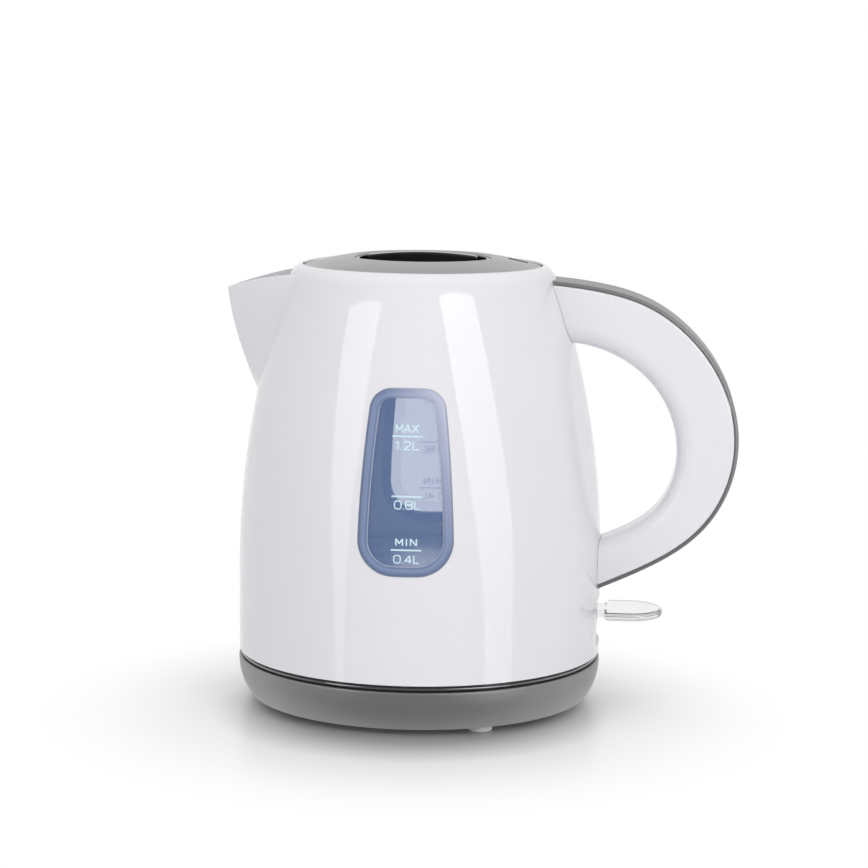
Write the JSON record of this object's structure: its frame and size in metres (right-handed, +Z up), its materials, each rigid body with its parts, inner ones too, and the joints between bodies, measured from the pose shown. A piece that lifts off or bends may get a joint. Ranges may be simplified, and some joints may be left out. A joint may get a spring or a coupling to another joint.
{
  "type": "electric kettle",
  "caption": "Round tapered electric kettle on a power base, with a loop handle, pouring spout, level windows, turning lid and lever switch.",
  "frame": {"origin": "middle of the flat underside of the power base, on the upright axis of base and jug; the soft feet stand 3 mm below it", "axes": "+Z up, +X towards the handle, -X towards the spout, -Y towards the front level window"},
  "size_m": [0.2233, 0.1597, 0.1971],
  "materials": {
    "white_plastic": "gloss, slightly cool white",
    "silver_plastic": "satin silver-grey paint",
    "blue_window": "tinted see-through plastic",
    "clear_plastic": "clear plastic",
    "black_plastic": "gloss black",
    "dark_plastic": "gloss dark grey",
    "inner_plastic": "moulded, matt",
    "pale_plastic": "moulded, matt",
    "steel": "brushed",
    "aluminium": "pressed",
    "brass": "turned",
    "soft_clear": "soft, see-through",
    "soft_grey": "soft moulded"
  },
  "bodies": {
    "base": {"base_shell": "silver_plastic", "base_cover": "inner_plastic", "base_feet": "soft_clear", "base_screws": "steel", "base_connector": "black_plastic", "base_contacts": "brass", "cord_gland": "inner_plastic"},
    "socket": {"kettle_socket": "inner_plastic"},
    "jug": {"body_shell": "white_plastic", "handle_shell": "white_plastic", "handle_cover": "silver_plastic", "handle_screw": "steel", "window_front": "blue_window", "window_rear": "blue_window", "window_seal_front": "soft_grey", "window_seal_rear": "soft_grey", "filter_frame": "pale_plastic", "filter_mesh": "steel", "heater_plate": "steel", "heater_seal": "soft_grey", "heat_spreader": "aluminium", "heater_element": "steel", "control_unit": "inner_plastic", "bimetal_discs": "brass", "steam_tube": "pale_plastic", "steam_switch": "inner_plastic", "lamp": "clear_plastic", "switch_pin": "steel", "bottom_cover": "dark_plastic", "bottom_screws": "steel"},
    "lid_carrier": {"lid_seal": "soft_grey"},
    "lid": {"lid_ring": "silver_plastic", "lid_well": "black_plastic", "lid_grip": "black_plastic", "lid_plug": "pale_plastic", "lid_screws": "steel"},
    "lever": {"switch_lever": "clear_plastic"}
  },
  "joints": [
    {"name": "kettle_lift", "type": "slide", "parent": "base", "child": "socket", "axis": [0, 0, 1], "range_m": [0, 0.1]},
    {"name": "kettle_swivel", "type": "hinge", "parent": "socket", "child": "jug", "pos_m": [0, 0, 0], "axis": [0, 0, 1], "continuous": true},
    {"name": "lid_lift", "type": "slide", "parent": "jug", "child": "lid_carrier", "axis": [0, 0, 1], "range_m": [0, 0.08]},
    {"name": "lid_turn", "type": "hinge", "parent": "lid_carrier", "child": "lid", "pos_m": [0, 0, 0], "axis": [0, 0, -1], "range_deg": [0, 60]},
    {"name": "switch_press", "type": "hinge", "parent": "jug", "child": "lever", "pos_m": [0.066, 0, 0.0374], "axis": [0, 1, 0], "range_deg": [0, 12], "stiffness_Nm_per_rad": 0.1}
  ]
}
